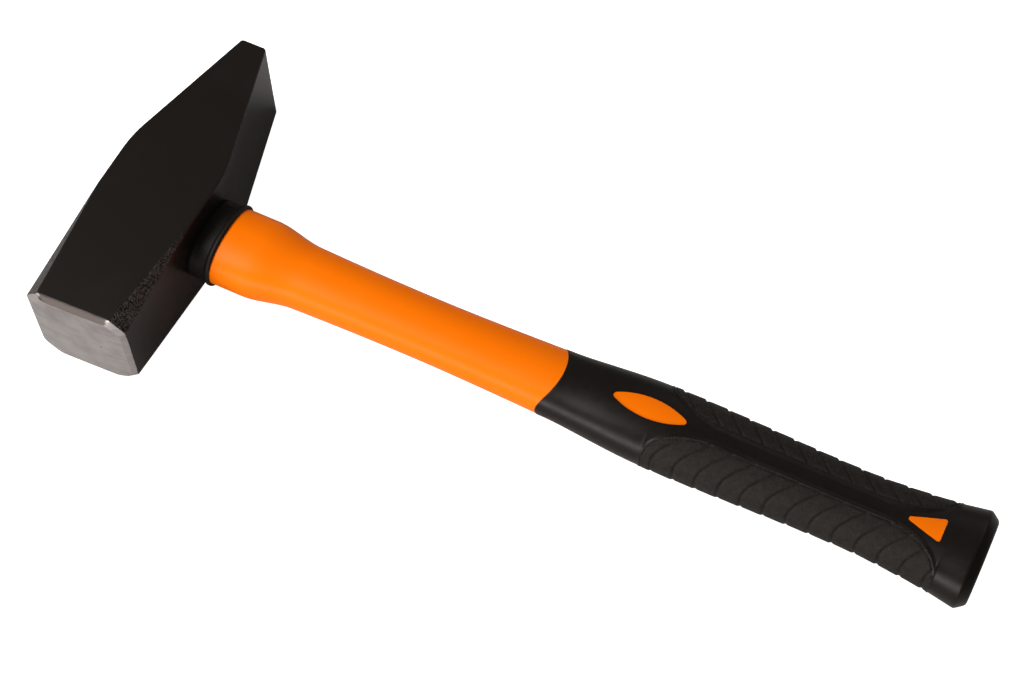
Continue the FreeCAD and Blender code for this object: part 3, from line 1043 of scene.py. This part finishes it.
jacket = turned("handle_jacket_moulding", jacket_outline(), 128, orange.material)
for name, window in WINDOWS:
    boss = prism(name + "_boss", window(0.06), BOSS_BOTTOM, BOSS_TOP)
    boss.data.materials.append(orange.material)
    cut_or_join(boss, add_object("plug", grip_plug.data.copy()), "INTERSECT")
    cut_or_join(jacket, boss, "UNION")
bpy.data.objects.remove(grip_plug)
crisp(jacket)
report(jacket)
report(grip)

# %% [markdown]
# ## The collar
#
# A soft black ring closes the eye on the handle's side. It is an oval turning as well: a short straight body,
# a rounded lip where the handle enters, and a shallow pocket that the neck sits in.

# %% Turned collar
COLLAR_END = collar_high.x / MM
COLLAR_WIDE, COLLAR_HIGH = 19.0, 12.7


def collar_outline():
    """Straight body, rounded lip and the pocket for the neck, as places and distances from the body."""
    root = [(0.0, -3.15), (0.0, -0.5), (0.15, -0.15), (0.6, 0.0)]
    lip = [(2.7, 0.06), (2.4, 0.35), (2.1, 0.75), (1.8, 0.96), (1.4, 1.08), (1.05, 1.1), (0.6, 1.06),
           (0.25, 0.88), (0.06, 0.6), (0.0, 0.3), (0.0, 0.0), (0.1, -0.1)]
    line = [(HEAD_SIDE + run, out) for run, out in root]
    line += [(x, 0.0) for x in places(HEAD_SIDE + 1.5, COLLAR_END - 3.0, 2.0)]
    line += [(COLLAR_END - back, out) for back, out in lip]
    line += [(NECK + 0.02, -0.16), (NECK + 0.02, -3.15), (HEAD_SIDE, -3.15)]
    return [(x, COLLAR_WIDE + out, COLLAR_HIGH + out) for x, out in line]


collar = turned("neck_collar_ring", collar_outline(), 160, collar_rubber)
report(collar)

# %% [markdown]
# ## The head
#
# The head is forged from one square bar: a square body, four long corner cuts that run out near the eye, a
# cross peen that tapers on two sides, and a ground striking face with a bevel and a slight crown. Bevel
# modifiers on a box would not let the corner cuts run out, so the head is lofted: rings of the same number
# of points follow each other along the head, and each ring knows its own width, height and corner cut. Extra
# rings beside each edge keep the flats flat and the edges softly rounded, as paint leaves them.

# %% Sections of the head
FACE, PEEN = head_low.y / MM, head_high.y / MM
SIDE = HALF / MM
PEEN_HALF_FLAT = 6.0
TAPER_START, BEND_RADIUS = 19.5, 60.0
TAPER_ANGLE = math.atan((SIDE - PEEN_HALF_FLAT) / (PEEN - TAPER_START))
FACE_BEVEL, CROWN_RADIUS = 3.2, 260.0
CUT_LEG, CUT_END = 6.3, -5.0
EDGE_ROUNDING, PEEN_ROUNDING = 0.7, 1.5
ARC_STEPS = 4
# In a rounded octagon an eighth of a turn takes these shares of its radius from the flats beside it.
ARC_LEG, ARC_TIP = 0.5858, 0.4142
# A corner cut gets shorter by this share when the whole ring is drawn in.
INSET_LOSS = 0.586
# A point this far beside each rounded edge keeps the flat flat.
SUPPORT = 1.3


def head_section(wide, high, cut, inset, r=EDGE_ROUNDING):
    """Points (x, z, beads) of a rounded octagon. The points on the corner cuts carry beads."""
    line = []
    cut = cut - INSET_LOSS * inset
    leg = max(cut, ARC_LEG * r) + ARC_TIP * r
    beads = min(1.0, max(0.0, (cut - 0.5) / 1.5))
    for quarter in range(4):
        p, q = (wide - inset, high - inset)[::1 if quarter % 2 == 0 else -1]
        local = [(p, q - leg - SUPPORT, 0.0)]
        for corner, (u, v) in enumerate(((p - r, q - leg), (p - leg, q - r))):
            for step in range(ARC_STEPS + 1):
                share = step / ARC_STEPS
                turn = math.pi / 4 * (corner + share)
                mark = beads * abs(corner - share)
                local.append((u + r * math.cos(turn), v + r * math.sin(turn), mark))
        local.append((p - leg - SUPPORT, q, 0.0))
        for u, v, mark in local:
            for _ in range(quarter):
                u, v = -v, u
            line.append((u, v, mark))
    return line


def half_width_at(y):
    """Half width of the head across the handle's direction, at y."""
    tangent = BEND_RADIUS * math.tan(TAPER_ANGLE / 2)
    start = TAPER_START - tangent
    bend = y - start
    if bend <= 0:
        return SIDE
    if bend < BEND_RADIUS * math.sin(TAPER_ANGLE):
        return SIDE - BEND_RADIUS + math.sqrt(BEND_RADIUS ** 2 - bend ** 2)
    return SIDE - (y - TAPER_START) * math.tan(TAPER_ANGLE)


def cut_at(y):
    """Leg of the corner cut at y: nothing near the eye, full at the striking end."""
    return CUT_LEG * max(0.0, CUT_END - y) / (CUT_END - FACE - FACE_BEVEL)


def side_ring(y, inset=0.0):
    """Ring of the body or the peen at y."""
    return [(x, y, z, mark) for x, z, mark in head_section(half_width_at(y), SIDE, cut_at(y), inset)]


print("half width at the peen's end:", round(half_width_at(PEEN), 2), "mm")

# %% Rings of the head


def crown_height(x, z):
    """Place along the head of a point on the crowned face."""
    return FACE + (x * x + z * z) / (2 * CROWN_RADIUS)


def crease_ring():
    """Ring where the bevel meets the crown: its corners are cut and rounded more than the body's."""
    section = head_section(SIDE, SIDE, CUT_LEG + 1.2, 2.1, 5.0)
    return [(x + 0.4, crown_height(x + 0.4, z), z, 0.0) for x, z, mark in section]


def between(ring_a, ring_b, share):
    """Ring part of the way from one ring to another."""
    return [tuple(a + (b - a) * share for a, b in zip(p, q)) for p, q in zip(ring_a, ring_b)]


def shrunk_ring(outer, scale):
    """Ring on the crown, shrunk towards its middle."""
    return [(x * scale, crown_height(x * scale, z * scale), z * scale, 0.0) for x, y, z, mark in outer]


def head_rings():
    """All rings, from the middle of the striking face to the end of the peen."""
    start = FACE + FACE_BEVEL
    crease, edge = crease_ring(), side_ring(start)
    rings = [shrunk_ring(crease, scale) for scale in (0.06, 0.25, 0.45, 0.65, 0.82, 0.93, 0.975, 0.99)]
    rings += [crease, between(crease, edge, 0.08), between(crease, edge, 0.2)]
    rings += [between(crease, edge, 0.5), between(crease, edge, 0.8), between(crease, edge, 0.93)]
    rings += [side_ring(y) for y in (start + 0.1, start + 0.4, start + 1.2, start + 3.0)]
    rings += [side_ring(y) for y in places(start + 6.0, CUT_END - 3.0, 5.0)]
    rings += [side_ring(y) for y in (CUT_END - 1.0, CUT_END, CUT_END + 1.0, 4.0, 9.0)]
    rings += [side_ring(y) for y in places(11.5, 28.0, 1.1)]
    rings += [side_ring(y) for y in places(32.0, PEEN - 3.5, 5.0)]
    rings.append(side_ring(PEEN - PEEN_ROUNDING - 0.8))
    for step in range(6):
        turn = math.pi / 2 * step / 5
        inset = PEEN_ROUNDING * (1 - math.cos(turn))
        rings.append(side_ring(PEEN - PEEN_ROUNDING * (1 - math.sin(turn)), inset))
    rings += [side_ring(PEEN, PEEN_ROUNDING + 0.5), side_ring(PEEN, PEEN_ROUNDING + 2.5)]
    return rings


def slant_at(y):
    """The face is ground a little out of square: the slant grows over the last of the body."""
    share = min(1.0, max(0.0, (FACE + 13.0 - y) / 8.0))
    return FACE_SLANT * share * share * (3 - 2 * share)


print("rings:", len(head_rings()), "of", len(crease_ring()), "points")

# %% Lofted head


def make_head():
    """Lofts the rings and closes both ends."""
    rings = head_rings()
    count = len(rings[0])
    shape = bmesh.new()
    beads = shape.verts.layers.float.new("cut")
    made = []
    for line in rings:
        row = []
        for x, y, z, mark in line:
            y += slant_at(y) * x
            vertex = shape.verts.new((x * MM, y * MM, AXIS_Z + z * MM))
            vertex[beads] = mark
            row.append(vertex)
        made.append(row)
    for row, after in zip(made, made[1:]):
        for i in range(count):
            shape.faces.new([row[i], row[(i + 1) % count], after[(i + 1) % count], after[i]])
    shape.faces.new(made[0])
    shape.faces.new(made[-1])
    mesh = bpy.data.meshes.new("head_forging")
    shape.to_mesh(mesh)
    shape.free()
    mesh.materials.append(steel.material)
    return outwards(add_object("head_forging", mesh))


head = make_head()
eye_outline = [(-SIDE - 1.5, 0.0, 0.0), (-SIDE - 1.5, 20.4, 14.1), (-SIDE, 18.9, 12.6),
               (-SIDE + 0.6, 18.5, 12.2), (SIDE, 17.0, 10.7), (SIDE + 1.5, 17.0, 10.7),
               (SIDE + 1.5, 0.0, 0.0)]
eye_tool = turned("eye_tool", eye_outline, 96, steel.material)
cut_or_join(head, eye_tool, "DIFFERENCE")
crisp(head)
report(head)

# %% [markdown]
# ### Resin in the eye
#
# The handle's tongue is potted in the eye with resin. On the far side of the head the resin stands a little
# below the opening and creeps up its wall, so its surface is a shallow dish with a raised rim.

# %% Resin fill
RESIN_FACE, LAP = resin_low.x / MM, 0.05
dish = [(0.0, 0.0, 0.0), (0.0, 13.0, 7.0), (-0.05, 16.0, 9.8), (-0.2, 17.4, 11.1), (-0.4, 18.1, 11.8),
        (-0.6, 18.42, 12.12)]
resin_outline = [(RESIN_FACE + run, wide, high) for run, wide, high in dish]
resin_outline += [(SIDE, 16.98, 10.68), (SIDE, TONGUE_WIDE + LAP, TONGUE_HIGH + LAP),
                  (TONGUE_START - LAP, TONGUE_WIDE + LAP, TONGUE_HIGH + LAP),
                  (TONGUE_START - LAP, 0.0, 0.0)]
resin_fill = turned("eye_resin_fill", resin_outline, 96, resin.material)
report(resin_fill)

# %% [markdown]
# ## Hand the pieces over
#
# Nothing on this hammer moves, so every piece rides on the one body. Each new piece takes the place of its
# node of the imported model, which is hidden. The glass-fibre core is wholly inside the jacket, so it keeps
# its imported shape.

# %% Ride, replace, and finish the core
for piece, node, slot in (
    (head, "head", "head_paint"),
    (resin_fill, "eye_epoxy", "eye_resin"),
    (jacket, "handle_jacket", "jacket_plastic"),
    (collar, "neck_collar", "collar_rubber"),
    (grip, "grip_sleeve", "grip_rubber"),
):
    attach(piece, "root")
    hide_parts(node)
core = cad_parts["core_rod"]
for slot in core.material_slots:
    slot.material = glass.material
